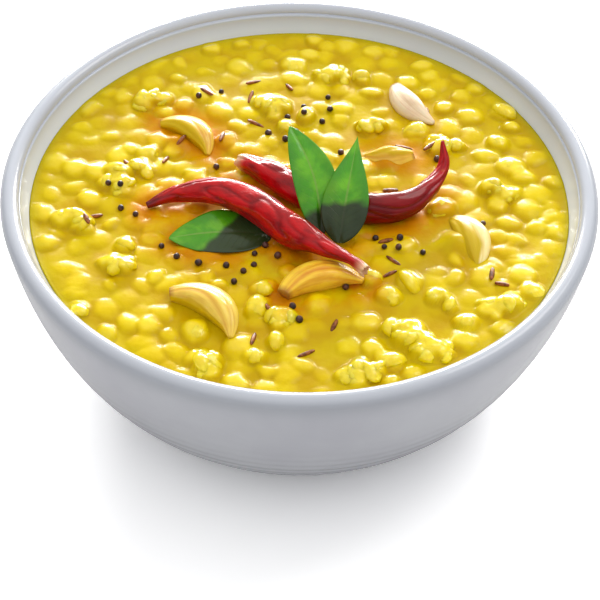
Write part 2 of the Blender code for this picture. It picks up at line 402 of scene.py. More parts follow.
def bowlProfile(wallSteps=72, lipSteps=20, footSteps=5):
    # radius and height from under the base, up the outside, over the lip and down to the floor
    foot, rise, half = bowl["baseRadius"] - bowl["footRing"], bowl["recess"], bowl["lip"] / 2
    profile = [(0.3 * foot, rise), (0.8 * foot, rise)]
    for i in range(footSteps + 1):
        turn = math.pi / 2 * i / footSteps
        profile.append((foot - rise + rise * math.sin(turn), rise * math.cos(turn)))
    profile.append((foot + 0.5 * bowl["footRing"], 0.0))
    profile.append((bowl["baseRadius"] - bowl["footBend"], 0.0))
    steps = [i / wallSteps for i in range(wallSteps + 1)]
    profile += [tuple(outerWall(step)[0]) for step in steps[1:]]
    for i in range(1, lipSteps):
        turn = math.pi * i / lipSteps
        profile.append((rimRadius - half + half * math.cos(turn), rimHeight - half + half * math.sin(turn)))
    firstInside = len(profile)
    profile += [tuple(innerWall(step)) for step in reversed(steps)]
    radius, height = profile[-1]
    profile += [(radius * share, height) for share in (0.9, 0.6, 0.3)]
    return profile, firstInside


def glazeFinish():
    f = Finish("bowlGlaze", Roughness=0.22, Coat_Weight=0.35, Coat_Roughness=0.08, Specular_IOR_Level=0.45)
    body = f.mix(f.patches(f.place(), 0.035, 0.35, 0.70), bowl["glaze"], bowl["glazeShade"])
    # painted light: the inside faces take the lighter, bluer glaze
    body = f.mix(f.value("inside"), body, bowl["inside"])
    # painted shade: the glaze turns greyer and darker over the lip
    f.feed("Base Color", f.mix(f.times(f.value("lip"), 0.8), body, bowl["lipShade"]))
    f.feed("Normal", f.bump(f.relief(f.place(), 0.0022, 0.6), 0.10, 0.0006))
    return f.material


def makeBowl(sides=256):
    turns = np.linspace(0, 2 * math.pi, sides, endpoint=False)
    rings, inside, lip = [], [], []
    profile, firstInside = bowlProfile()
    for i, (radius, height) in enumerate(profile):
        x, y = radius * np.cos(turns), radius * np.sin(turns)
        rings.append(np.column_stack((x, y, np.full(sides, height))))
        inside += [float(i >= firstInside)] * sides
        lip += [math.exp(-((rimHeight - height) / bowl["lip"]) ** 2)] * sides
    made = ringPiece("bowlTurned", rings, glazeFinish(), inside=inside, lip=lip)
    throwingRings(made)
    return settle(made, "bowl_glaze", "bowl")


class Pattern(Tree):
    # a geometry tree with named inputs
    def __init__(self, name):
        super().__init__(bpy.data.node_groups.new(name, "GeometryNodeTree"))
        for way in ("INPUT", "OUTPUT"):
            self.tree.interface.new_socket("Geometry", in_out=way, socket_type="NodeSocketGeometry")
        self.given = self.node("NodeGroupInput")
        self.out = self.node("NodeGroupOutput")
        self.values = {}

    def input(self, label, value):
        socket = self.tree.interface.new_socket(label, in_out="INPUT", socket_type="NodeSocketFloat")
        self.values[socket.identifier] = value
        return self.given.outputs[label]

    def named(self, name):
        kind = "GeometryNodeInputNamedAttribute"
        return self.use(kind, {"Name": name}, "Attribute", data_type="FLOAT_VECTOR")

    def vector(self, operation, a, b, output=0):
        return self.use("ShaderNodeVectorMath", {0: a, 1: b}, output, operation=operation)

    def push(self, geometry, amount):
        # moves each point along its normal
        normal = self.use("GeometryNodeInputNormal", {})
        offset = self.use("ShaderNodeVectorMath", {0: normal, "Scale": amount}, operation="SCALE")
        return self.use("GeometryNodeSetPosition", {"Geometry": geometry, "Offset": offset})

    def bake(self, piece, geometry):
        # runs the tree on the piece and leaves a plain mesh
        self.link(geometry, self.out.inputs["Geometry"])
        modifier = piece.modifiers.new(self.tree.name, "NODES")
        modifier.node_group = self.tree
        for identifier, value in self.values.items():
            modifier[identifier] = value
        bpy.context.view_layer.update()
        graph = bpy.context.evaluated_depsgraph_get()
        evaluated = piece.evaluated_get(graph)
        baked = bpy.data.meshes.new_from_object(evaluated, preserve_all_data_layers=True, depsgraph=graph)
        piece.modifiers.remove(modifier)
        old, piece.data = piece.data, baked
        piece.data.name = piece.name
        bpy.data.meshes.remove(old)


def throwingRings(piece):
    # shallow ridges that the potter's fingers leave round the outside, deepest low down
    g = Pattern("throwingRings")
    pitch = g.input("Pitch", bowl["ridgePitch"])
    depth = g.input("Depth", bowl["ridgeDepth"])
    fade = g.input("Fade height", bowl["ridgesTo"] * rimHeight)
    place = g.use("GeometryNodeInputPosition", {})
    x, y, z = g.split(place)
    clouds = g.use("ShaderNodeTexNoise", {"Vector": place, "Scale": 14.0, "Detail": 1.0}, "Fac")
    wander = g.times(g.math("SUBTRACT", clouds, 0.5), 5.0)
    wave = g.math("SINE", g.math("ADD", g.times(g.math("DIVIDE", z, pitch), 2 * math.pi), wander))
    dip = g.times(g.math("SUBTRACT", wave, 1.0), 0.5)
    amount = g.times(g.times(dip, depth), g.remap(z, 6 * mm, fade, 1.0, 0.0))
    amount = g.times(amount, g.remap(z, 1 * mm, 5 * mm, easing="LINEAR"))
    flat = g.use("ShaderNodeCombineXYZ", {"X": x, "Y": y})
    facing = g.vector("DOT_PRODUCT", g.use("GeometryNodeInputNormal", {}), flat, "Value")
    outside = g.math("GREATER_THAN", facing, 0.0)
    g.bake(piece, g.push(g.given.outputs["Geometry"], g.times(amount, outside)))


def smoothRoute(points, count, finer=24):
    # evenly spaced points and directions on a smooth curve through the given ones, and its length
    p = np.array(points, float)
    p = np.vstack((2 * p[0] - p[1], p, 2 * p[-1] - p[-2]))
    fine = []
    for a, b, c, d in zip(p, p[1:], p[2:], p[3:]):
        for t in np.linspace(0, 1, finer, endpoint=False):
            bent = (2 * a - 5 * b + 4 * c - d) * t**2 + (3 * b - a - 3 * c + d) * t**3
            fine.append(0.5 * (2 * b + (c - a) * t + bent))
    fine = np.array([*fine, p[-2]])
    run = np.concatenate(([0.0], np.cumsum(np.linalg.norm(np.diff(fine, axis=0), axis=1))))
    even = np.linspace(0, run[-1], count)
    route = np.column_stack([np.interp(even, run, fine[:, axis]) for axis in range(3)])
    return route, np.gradient(route, axis=0), run[-1]


chillies = {
    "chilliFront": {
        "node": "chilli_front",
        "route": [(-41.0, -6.0, 1.5), (-33.0, -3.2, 3.5), (-22.7, -3.6, 5.2), (-11.8, -9.9, 6.2),
                  (-2.4, -18.8, 6.2), (6.1, -25.3, 6.7), (13.8, -30.8, 7.2), (17.1, -34.0, 6.6)],
        "girth": [(0.0, 0.9), (0.04, 1.5), (0.12, 2.4), (0.28, 3.7), (0.62, 4.5), (0.70, 4.4), (0.80, 2.7),
                  (0.93, 1.4), (1.0, 1.8)],
        "openFirst": False,
        "skin": srgb(200, 6, 14),
        "dark": srgb(96, 6, 12),
        "dusk": (3.0, 4.0, 5.0, 6.0),
        "tipDark": 0.75,
        "wrinkle": 0.34 * mm,
        "seed": 3.0,
    },
    "chilliBack": {
        "node": "chilli_back",
        "route": [(-16.4, 11.2, 3.0), (-8.1, 5.1, 4.2), (-2.5, 0.3, 4.2), (5.4, -5.1, 4.1),
                  (18.9, -7.7, 4.1), (29.9, -5.4, 4.5), (38.2, 3.9, 7.5), (38.3, 10.1, 13.0)],
        "girth": [(0.0, 2.5), (0.14, 3.9), (0.65, 4.0), (0.80, 2.8), (0.93, 1.4), (1.0, 0.4)],
        "openFirst": True,
        "skin": srgb(196, 4, 14),
        "dark": srgb(86, 5, 12),
        "dusk": (0.36, 0.52, 0.74, 0.92),   # where along it the skin turns dark, and red again
        "tipDark": 0.15,
        "wrinkle": 0.42 * mm,
        "seed": 11.0,
    },
}
chilliLook = {
    "scar": srgb(196, 96, 50),
    # painted shade: a dark maroon laid over the pointed end
    "tip": srgb(58, 12, 16),
    "torn": srgb(236, 196, 150),
    "tornOver": 3.4 * mm,
    "tipOver": 8 * mm,
    "foldLength": 11 * mm,
    "hollow": ((0.88, 0.05), (0.72, 0.35), (0.62, 1.1), (0.45, 1.7)),   # shrink and depth of its rings
}


def chilliFinish(name, s):
    f = Finish(name + "Skin", Roughness=0.34, Coat_Weight=0.40, Coat_Roughness=0.06, Specular_IOR_Level=0.12)
    skin = f.uv("skin")
    # long streaks follow the pod, patches don't
    streaks = f.patches(f.stretched(skin, (3.0, 0.9, 1.0)), 0.35, 0.42, 0.66)
    body = f.mix(f.times(streaks, 0.55), s["skin"], s["dark"])
    body = f.mix(f.times(f.patches(f.place(), 0.007, 0.45, 0.70), 0.45), body, s["dark"])
    shifted = f.stretched(f.place(), (1.0, 1.0, 1.0), (0.03, 0.02, 0.0))
    body = f.mix(f.times(f.patches(shifted, 0.0035, 0.67, 0.74), 0.55), body, chilliLook["scar"])
    # painted shade: the skin is darker down its folds
    body = f.mix(f.value("creases"), body, s["dark"])
    body = f.mix(f.times(f.value("dusk"), 0.66), body, s["dark"])
    # painted shade darkens the pointed end
    body = f.mix(f.value("tip"), body, chilliLook["tip"])
    f.feed("Base Color", f.mix(f.value("pale"), body, chilliLook["torn"]))
    f.feed("Normal", f.bump(f.relief(f.stretched(skin, (14.0, 5.0, 1.0)), 0.5, 0.4), 0.55, 0.0006))
    f.glow(0.12, (1.0, 0.2, 0.1), 0.0012)
    return f.material


def podPoint(s, turn, share, length, radius):
    # how far the skin lies from the middle there, and how creased it is
    swell = 1 + 0.06 * math.sin(2 * turn + 7 * share) + 0.04 * math.sin(3 * turn - 15 * share)
    # folds run along the pod and wander round it
    drift = turn + 1.3 * share
    spot = Vector((math.cos(drift) * 1.15, math.sin(drift) * 1.15, share * length / chilliLook["foldLength"]))
    fold = 1 - abs(noise.noise(spot + Vector((s["seed"], 0, 0)))) * 3.2
    dent = noise.noise(spot * 2.3 + Vector((0, s["seed"], 4.0)))
    sink = (max(0.0, fold) ** 2 + dent * 0.35) * s["wrinkle"]
    return radius * swell - sink * min(1.0, radius / (2.2 * mm)), min(1.0, max(0.0, fold - 0.35) * 0.75)


def makeChilli(name, s, count=170, sides=64):
    places = [(x * mm, y * mm, dalLevel + z * mm) for x, y, z in s["route"]]
    centres, directions, length = smoothRoute(places, count)
    shares, radii = zip(*s["girth"])
    rings, creases, rows = [], [], []
    for i in range(count):
        share = i / (count - 1)
        along = Vector(directions[i]).normalized()
        across = along.cross(Vector((0, 0, 1))).normalized()
        upwards = across.cross(along)
        radius = float(np.interp(share, shares, radii)) * mm
        ring = []
        for k in range(sides):
            turn = 2 * math.pi * k / sides
            reach, crease = podPoint(s, turn, share, length, radius)
            ring.append(Vector(centres[i]) + (across * math.cos(turn) + upwards * math.sin(turn)) * reach)
            creases.append(crease)
        rings.append(ring)
        fromOpen = share if s["openFirst"] else 1 - share
        pale = max(0.0, 1 - fromOpen * length / chilliLook["tornOver"]) ** 1.4
        tip = max(0.0, 1 - (1 - fromOpen) * length / chilliLook["tipOver"]) ** 1.3 * s["tipDark"]
        rows.append((pale, tip, np.interp(share, s["dusk"], (0, 1, 1, 0)), share * length / (20 * mm)))
    values = {"creases": np.reshape(creases, (count, sides))}
    for label, row in zip(("pale", "tip", "dusk", "along"), zip(*rows)):
        values[label] = np.repeat(np.array(row)[:, None], sides, axis=1)
    extra = hollowEnd(rings, s, sides)
    rings = extra[::-1] + rings if s["openFirst"] else rings + extra
    for label, row in values.items():
        block = np.full((len(extra), sides), {"creases": 0.3, "pale": 0.75}.get(label, 0.0))
        values[label] = np.vstack((block, row) if s["openFirst"] else (row, block)).ravel()
    uv = ("skin", np.tile(np.arange(sides) / sides, len(rings)), values.pop("along"))
    return settle(ringPiece(name, rings, chilliFinish(name, s), uv, **values), "chilli_skin", s["node"])


def hollowEnd(rings, s, sides):
    # the torn end of the pod: its ragged edge, and a short way down inside
    edge, before = (rings[0], rings[2]) if s["openFirst"] else (rings[-1], rings[-3])
    middle = sum(edge, Vector()) / sides
    outwards = (middle - sum(before, Vector()) / sides).normalized()
    for k in range(sides):
        turn = 2 * math.pi * k / sides
        spot = Vector((math.cos(turn), math.sin(turn), s["seed"])) * 2.1
        edge[k] += outwards * (noise.noise(spot) * 1.1 * mm)
    return [[middle + (p - middle) * shrink - outwards * depth * mm for p in edge]
            for shrink, depth in chilliLook["hollow"]]


leaves = {
    "curryLeafLeft": {
        "node": "curry_leaf_left",
        "base": (-6.8, -14.9, 0.2), "tip": (-34.4, -17.8, 0.9), "face": (0.05, -0.10, 1.0),
        "width": 14.8, "widest": 0.45, "fold": 0.02, "arch": 0.2, "sweep": 1.4, "seed": 1.0,
        "shadeTo": 0.50, "slant": -0.22,
    },
    "curryLeafMiddle": {
        "node": "curry_leaf_middle",
        "base": (5.9, -15.7, 1.0), "tip": (-3.1, 6.8, 19.7), "face": (0.1, -0.6, 0.8),
        "width": 11.5, "widest": 0.45, "fold": 0.10, "arch": 1.6, "sweep": 2.2, "seed": 2.0,
        "shadeTo": 0.20, "slant": 0.0,
    },
    "curryLeafRight": {
        "node": "curry_leaf_right",
        "base": (10.6, -18.6, 0.9), "tip": (15.1, 4.6, 18.9), "face": (-0.1, -0.6, 0.8),
        "width": 12.5, "widest": 0.33, "fold": 0.10, "arch": 1.6, "sweep": 0.0, "seed": 3.0,
        "shadeTo": 0.36, "slant": 0.03,
    },
}
leafLook = {
    "thickness": 0.36 * mm,
    "vein": 0.16 * mm,
    "veinWidth": 0.5 * mm,
    "wave": 0.5 * mm,             # how uneven the blade is towards its edges
    "translucent": 0.42,
    "green": srgb(92, 186, 22),
    "young": srgb(136, 214, 36),
    "dark": srgb(56, 138, 20),
    "rib": srgb(150, 196, 78),
    "soaked": srgb(52, 56, 40),   # painted shade over the lower part of the blade, behind and under the chillies
}


def leafFinish():
    f = Finish("curryLeaf", Roughness=0.26, Coat_Weight=0.45, Coat_Roughness=0.12)
    blade = f.split(f.uv("blade"))
    side = f.math("ABSOLUTE", blade["X"])
    body = f.mix(f.patches(f.place(), 0.006, 0.40, 0.68), leafLook["green"], leafLook["young"])
    body = f.mix(f.remap(side, 0.25, 1.0, 0.0, 0.35), body, leafLook["dark"])
    # side veins leave the rib at a slant
    slant = f.math("SUBTRACT", blade["Y"], f.times(side, 0.16))
    wave = f.math("ABSOLUTE", f.math("SINE", f.times(slant, 44.0)))
    veins = f.times(f.remap(wave, 0.16, 0.0), f.remap(side, 0.98, 0.6))
    lines = f.math("MAXIMUM", f.times(veins, 0.30), f.remap(side, 0.075, 0.02))
    colour = f.mix(f.times(lines, 0.75), body, leafLook["rib"])
    # painted shade: the lower part of the blade is darkened
    colour = f.mix(f.times(f.value("soaked"), 0.92), colour, leafLook["soaked"])
    f.feed("Base Color", colour)
    fine = f.relief(f.place(), 0.0009, 0.5)
    normal = f.bump(f.math("SUBTRACT", f.times(fine, 0.35), f.times(veins, 0.55)), 0.5, 0.00025)
    f.feed("Normal", normal)
    # light from behind shines through the blade
    through = f.use("ShaderNodeBsdfTranslucent", {"Color": colour, "Normal": normal})
    lit = f.shader.outputs["BSDF"]
    blend = f.use("ShaderNodeMixShader", {"Fac": leafLook["translucent"], 1: lit, 2: through})
    f.link(blend, f.tree.nodes["Material Output"].inputs["Surface"])
    return f.material


def makeLeaf(name, s, material, rows=72, columns=25):
    start, end = [Vector((x * mm, y * mm, dalLevel + z * mm)) for x, y, z in (s["base"], s["tip"])]
    along = (end - start).normalized()
    across = along.cross(Vector(s["face"])).normalized()
    outwards = across.cross(along)
    taper = (1 - s["widest"]) / s["widest"]
    peak = s["widest"] * (1 - s["widest"]) ** taper
    sides = [2 * c / (columns - 1) - 1 for c in range(columns)]
    rings, shares, shadeOrCoat = [], [], []
    for i in range(rows):
        share = 0.012 + 0.983 * i / (rows - 1)
        half = s["width"] / 2 * mm * (share * (1 - share) ** taper / peak) ** 0.7
        bow = (outwards * s["arch"] + across * s["sweep"]) * mm * math.sin(math.pi * share)
        middle = start.lerp(end, share) + bow
        upper, lower = [], []
        for side in sides:
            raised = s["fold"] * half * abs(side) ** 1.3
            spot = Vector((side * 1.4, share * 4.5, s["seed"] * 7))
            raised += noise.noise(spot) * leafLook["wave"] * abs(side) ** 0.7 * min(1.0, half / (3 * mm))
            groove = leafLook["vein"] * math.exp(-(side * half / leafLook["veinWidth"]) ** 2)
            thick = leafLook["thickness"] / 2 * (1 - 0.75 * abs(side) ** 3)
            spine = middle + across * half * side + outwards * raised
            upper.append(spine + outwards * (thick - groove))
            lower.insert(0, spine - outwards * (thick + 0.6 * groove))
        rings.append(upper + lower)
        shares += [share] * (2 * columns)
        for side in sides + sides[::-1]:
            uneven = 0.05 * noise.noise(Vector((side * 1.8, share * 6, s["seed"])))
            # where the painted shade ends on the blade
            border = s["shadeTo"] + s["slant"] * side + uneven
            shadeOrCoat.append(min(1.0, max(0.0, (border - share) / 0.05 + 0.5)))
    uv = ("blade", (sides + sides[::-1]) * rows, shares)
    return settle(ringPiece(name, rings, material, uv, soaked=shadeOrCoat), "curry_leaf", s["node"])


cloves = {
    "garlicFrontRight": {"node": "garlic_front_right", "centre": (6.2, -33.7, 2.1), "heading": 15,
                         "length": 21, "width": 8.5, "thickness": 7.0, "bend": 84, "lean": 8,
                         "tone": "fried", "dipped": -2.0, "seed": 1.0},
    "garlicFrontLeft": {"node": "garlic_front_left", "centre": (-22.9, -44.6, 2.0), "heading": -42,
                        "length": 21.5, "width": 8.5, "thickness": 7.5, "bend": 94, "lean": 10,
                        "tone": "cream", "dipped": -0.8, "seed": 2.0},
    "garlicRight": {"node": "garlic_right", "centre": (45.2, -15.2, -0.6), "heading": -72,
                    "length": 19, "width": 8.5, "thickness": 7.0, "bend": 60, "lean": 28,
                    "tone": "white", "dipped": 0.62, "seed": 3.0},
    "garlicBackLeft": {"node": "garlic_back_left", "centre": (-31.6, 24.4, 0.3), "heading": -42,
                       "length": 18.5, "width": 8.0, "thickness": 7.0, "bend": 90, "lean": 12,
                       "tone": "soft", "dipped": 0.0, "seed": 4.0},
    "garlicBackRight": {"node": "garlic_back_right", "centre": (31.6, 39.4, 0.8), "heading": -57,
                        "length": 19, "width": 7.5, "thickness": 6.5, "bend": 50, "lean": 176,
                        "tone": "pale", "dipped": -2.0, "seed": 5.0},
    "garlicCentre": {"node": "garlic_centre", "centre": (24.6, 17.2, 0.2), "heading": 182,
                     "length": 13.5, "width": 8.0, "thickness": 7.0, "bend": 40, "lean": -20,
                     "tone": "soft", "dipped": 0.1, "seed": 6.0},
}
cloveTones = {
    "cream": (srgb(238, 206, 84), srgb(206, 148, 36)),
    "fried": (srgb(250, 208, 58), srgb(210, 122, 22)),
    "soft": (srgb(236, 196, 66), srgb(200, 126, 34)),
    "pale": (srgb(232, 212, 178), srgb(206, 158, 118)),
    "white": (srgb(248, 230, 160), srgb(232, 196, 104)),
}

cloveLook = {
    "root": srgb(150, 92, 40),
    "coated": srgb(206, 174, 0),
    "skinLines": ((1.9, 0.09), (1.25, 0.05), (2.6, 0.06)),   # where round it, and how deep
    "taperFrom": 0.45,
    "taper": 0.42,
}


def cloveFinish(tone):
    light, brown = cloveTones[tone]
    f = Finish("garlic" + tone.capitalize(), Roughness=0.36, Coat_Roughness=0.15, Specular_IOR_Level=0.22)
    skin = f.uv("clove")
    lines = f.patches(f.stretched(skin, (9.0, 0.8, 1.0)), 0.45, 0.45, 0.75)
    body = f.mix(f.times(lines, 0.6), light, brown)
    body = f.mix(f.times(f.patches(f.place(), 0.005, 0.45, 0.75), 0.4), body, brown)
    # painted shade: the grooves are darkened towards brown
    body = f.mix(f.times(f.value("creases"), 0.7), body, brown)
    body = f.mix(f.times(f.value("root"), 0.8), body, cloveLook["root"])
    coated = f.times(f.value("coated"), 0.95)
    f.feed("Base Color", f.mix(coated, body, cloveLook["coated"]))
    f.feed("Coat Weight", f.times(f.math("SUBTRACT", 1.0, coated), 0.30))
    f.feed("Normal", f.bump(f.relief(f.stretched(skin, (26.0, 2.2, 1.0)), 0.5, 0.4), 0.30, 0.0004))
    f.glow(0.30, (1.0, 0.7, 0.3), 0.0020)
    return f.material


def clovePoint(s, spin, share):
    # how full the clove is there, and how much of a crease it has
    spot = Vector((math.cos(spin) * 1.6, math.sin(spin) * 1.6, share * 1.6 + s["seed"] * 9))
    ridge = 1 + 0.10 * math.cos(3 * spin) + 0.05 * noise.noise(spot)
    creased = 0.0
    # the edges of the skin that was peeled off leave grooves
    for groove, depth in cloveLook["skinLines"]:
        wander = 0.25 * math.sin(3.1 * share + s["seed"] + groove)
        gap = (spin - groove - wander + math.pi) % (2 * math.pi) - math.pi
        ridge -= depth * math.exp(-(gap / 0.12) ** 2)
        creased = max(creased, math.exp(-(gap / 0.16) ** 2) * depth * 11)
    return ridge, min(1.0, creased)


def makeClove(name, s, material, count=72, sides=48):
    turn = math.radians(s["bend"])
    radius = s["length"] / 2 / math.sin(turn / 2) * mm
    x, y, z = s["centre"]
    place = (Matrix.Translation((x * mm, y * mm, dalLevel + z * mm))
             @ Matrix.Rotation(math.radians(s["heading"]), 4, "Z")
             @ Matrix.Rotation(math.radians(s["lean"]), 4, "X")
             @ Matrix.Translation((0, -radius * (1 + math.cos(turn / 2)) / 2, 0)))
    rings, shares, roots, creases, coated = [], [], [], [], []
    for i in range(count):
        share = i / (count - 1)
        swing = turn * (0.5 - share)
        body = 0.16 + 0.84 * math.sin(math.pi * (0.10 + 0.88 * share) ** 1.15) ** 0.75
        late = max(0.0, (share - cloveLook["taperFrom"]) / (1 - cloveLook["taperFrom"]))
        body *= 1 - cloveLook["taper"] * late * late
        ring = []
        for k in range(sides):
            spin = 2 * math.pi * k / sides
            ridge, crease = clovePoint(s, spin, share)
            reach = radius + s["width"] / 2 * mm * body * ridge * math.cos(spin)
            up = s["thickness"] / 2 * mm * body * ridge * math.sin(spin)
            ring.append(place @ Vector((reach * math.sin(-swing), reach * math.cos(swing), up)))
            wander = 0.22 * noise.noise(Vector((share * 5, spin, s["seed"] * 3)))
            coated.append(min(1.0, max(0.0, (s["dipped"] + wander - math.cos(spin)) / 0.3 + 0.5)))
            creases.append(crease)
        rings.append(ring)
        shares += [share] * sides
        roots += [max(0.0, 1 - share / 0.07)] * sides
    uv = ("clove", [k / sides for k in range(sides)] * count, shares)
    made = ringPiece(name, rings, material, uv, root=roots, creases=creases, coated=coated)
    return settle(made, "garlic", s["node"])


dal = {
    "seed": 7,
    "grainCount": 330,
    "grainGap": 6.4 * mm,            # least distance between two grains' middles
    "grainRadius": (2.4 * mm, 4.5 * mm),
    "emergent": 0.08,                # share of the grains that stand clear of the gravy
    "breaking": 0.27,                # share that only breaks its surface
    "standsClear": 1.5 * mm,         # a grain whose top is over this is a piece of its own
    "swell": 0.55 * mm,
    "fillet": 1.9 * mm,              # how softly the gravy meets a grain
    "skirt": (0.93, 0.75, 0.5, 0.25),   # levels down the bowl's wall
    "gravy": srgb(204, 177, 3),
    "deep": srgb(192, 156, 3),
    # painted shade: a darker olive line where the gravy meets the bowl's wall
    "shore": srgb(180, 162, 14),
    "grain": srgb(238, 212, 4),
    "cream": srgb(250, 234, 70),
    "oil": srgb(200, 114, 0),
    "glow": (0.45, (1.0, 0.97, 0.06), 0.0016),
    # how much oil gathers round each topping
    "oily": {"chilliFront": 1.0, "chilliBack": 1.0, "curryLeafRight": 0.8, "curryLeafMiddle": 0.8,
             "curryLeafLeft": 0.8, "garlicFrontRight": 0.9, "garlicBackLeft": 0.8, "garlicCentre": 0.7},
    # where the gravy laps over a clove: (x, y, radius, height), in mm
    "laps": [
        (41.5, -16.5, 6.5, 3.0), (-35.0, 21.0, 5.5, 2.2),
        (23.5, 13.5, 4.5, 1.6), (-26.5, -49.0, 4.5, 1.6),
    ],
    # heaps of broken grains that stand out: (x, y, length, width, heading in degrees), in mm
    "heaps": [
        (29.5, -51.9, 18, 8, -38), (52.3, -39.6, 12, 5, 5), (15.7, -63.0, 9, 6, 14),
        (-22.2, -61.5, 7, 5, -22), (-47.6, -27.8, 7, 5, 2), (-46.8, 9.5, 10, 6, 9),
        (-9.2, 37.7, 11, 7, -15), (-49.0, 2.9, 8, 5, -12), (54.5, 4.5, 8, 5, -12),
        (36.4, -37.8, 6, 4, -30), (-43.0, 40.0, 9, 6, 20), (40.0, 22.0, 9, 5, -10),
        (8.0, 52.0, 9, 6, 0), (-60.0, -12.0, 9, 5, -55), (-4.0, -46.0, 6, 5, 10),
        (20.0, 30.0, 7, 5, 12),
    ],
}


def heapGrains(rng, x, y, length, width, heading):
    # small broken grains piled over an oval patch
    a = math.radians(heading)
    found = []
    for i in range(round(length * width / 6.5)):
        reach, turn = math.sqrt(rng.random()), rng.uniform(0, 2 * math.pi)
        t, w = reach * math.cos(turn) * length / 2, reach * math.sin(turn) * width / 2
        px = (x + t * math.cos(a) - w * math.sin(a)) * mm
        py = (y + t * math.sin(a) + w * math.cos(a)) * mm
        top = (3.1 - 1.4 * reach**2) * rng.uniform(0.75, 1.1) * mm
        found.append((px, py, rng.uniform(2.1, 3.3) * mm, top, rng.random()))
    return found


def scatterGrains(rng):
    # (x, y, radius, top height, kind) of each grain, heaps first
    edge = innerRadius(dalLevel) - 2.2 * mm
    grains = [grain for heap in dal["heaps"] for grain in heapGrains(rng, *heap)]
    wanted = len(grains) + dal["grainCount"]
    tries = 0
    while len(grains) < wanted and tries < 60000:
        tries += 1
        turn, reach = rng.uniform(0, 2 * math.pi), edge * math.sqrt(rng.random())
        px, py = reach * math.cos(turn), reach * math.sin(turn)
        radius = rng.uniform(*dal["grainRadius"])
        gap = dal["grainGap"] * rng.uniform(0.6, 1.3)
        if any((px - g[0]) ** 2 + (py - g[1]) ** 2 < gap * gap for g in grains):
            continue
        lot = rng.random()
        if lot < dal["emergent"]:
            top = rng.uniform(1.5, 2.5)
        elif lot < dal["emergent"] + dal["breaking"]:
            top = rng.uniform(0.9, 1.5)
        else:
            top = rng.uniform(-0.1, 0.8)
        grains.append((px, py, radius, top * mm, rng.random()))
    return grains


def clearOfToppings(grains, trees):
    # a grain under or beside a topping sinks or goes
    kept = []
    for x, y, radius, top, kind in grains:
        keep = True
        for name, tree in trees.items():
            for dx, dy in ((0, 0), (0.7, 0), (-0.7, 0), (0, 0.7), (0, -0.7)):
                spot = Vector((x + dx * radius, y + dy * radius, dalLevel - 0.03))
                hit = tree.ray_cast(spot, Vector((0, 0, 1)))[0]
                if hit is not None and hit.z < dalLevel + top + 0.4 * mm:
                    room = hit.z - dalLevel - 0.4 * mm
                    if name.startswith("garlic") or room < -0.2 * mm:
                        keep = False
                    top = min(top, room)
        if keep:
            kept.append((x, y, radius, top, kind))
    return kept


def discGrid(cells):
    # a square grid pulled to a disc of radius 1 so that its cells stay even
    line = np.linspace(-1, 1, cells + 1)
    a, b = np.meshgrid(line, line, indexing="ij")
    with np.errstate(divide="ignore", invalid="ignore"):
        wide = np.abs(a) > np.abs(b)
        radius = np.where(wide, a, b)
        turn = np.where(wide, math.pi / 4 * b / a, math.pi / 2 - math.pi / 4 * a / b)
    turn = np.nan_to_num(turn)
    return (radius * np.cos(turn)).ravel(), (radius * np.sin(turn)).ravel()


def cloud(x, y, scale, layer):
    # smooth noise over the plane
    return np.array([noise.noise(Vector((a * scale, b * scale, layer))) for a, b in zip(x, y)])


def turnedTo(x, y, middleX, middleY, turn):
    # the plane's points in an oval's own axes
    dx, dy = x - middleX, y - middleY
    return dx * math.cos(turn) + dy * math.sin(turn), dy * math.cos(turn) - dx * math.sin(turn)


def softMax(a, b, soft):
    h = np.clip(soft - np.abs(a - b), 0, None) / soft
    return np.maximum(a, b) + h * h * soft / 4


def gravyHeights(x, y, edge, grains):
    # height above the level, and how near a grain lies under the surface
    height = dal["swell"] * 1.6 * cloud(x, y, 38, 1.7) + 0.30 * mm * cloud(x, y, 150, 5.1)
    for lx, ly, radius, rise in dal["laps"]:
        share = np.clip(1 - np.hypot(x - lx * mm, y - ly * mm) / (radius * mm), 0, 1)
        height += rise * mm * smooth(share)
    cover = np.zeros(len(x))
    bentX, bentY = x + 0.9 * mm * cloud(x, y, 230, 9.0), y + 0.9 * mm * cloud(x, y, 230, 3.0)
    for gx, gy, radius, top, kind in grains:
        near = np.flatnonzero((np.abs(x - gx) < radius * 2.0) & (np.abs(y - gy) < radius * 2.0))
        along, across = turnedTo(bentX[near], bentY[near], gx, gy, kind * 2 * math.pi * 7)
        away = np.hypot(along, across / (1 - 0.30 * (kind * 13 % 1))) / radius
        crown = top if top < dal["standsClear"] else top - 0.14 * mm
        side = crown - 0.55 * radius
        dome = side + 0.55 * radius * np.sqrt(np.clip(1 - (away / 1.05) ** 2, 0, 1))
        dome = np.where(away < 1.05, dome, side - (away - 1.05) * radius * 2.5)
        height[near] = softMax(height[near], dome, dal["fillet"])
        strength = min(1.0, max(0.15, 0.22 + top / mm * 0.45))
        cover[near] = np.maximum(cover[near], smooth(np.clip((1.15 - away) / 0.75, 0, 1)) * strength)
    # broken grains leave the heaps ragged
    for hx, hy, length, width, heading in dal["heaps"]:
        along, across = turnedTo(x, y, hx * mm, hy * mm, math.radians(heading))
        share = np.clip(1.3 - np.hypot(along / (length / 2 * mm), across / (width / 2 * mm)), 0, 1)
        near = np.flatnonzero(share > 0)
        height[near] += 0.55 * mm * share[near] * cloud(x[near], y[near], 520, 8.0)
    reach = edge - np.hypot(x, y)
    height *= np.clip(reach / (3 * mm), 0.15, 1)
    return height + 0.35 * mm * np.exp(-reach / (0.7 * mm)), cover


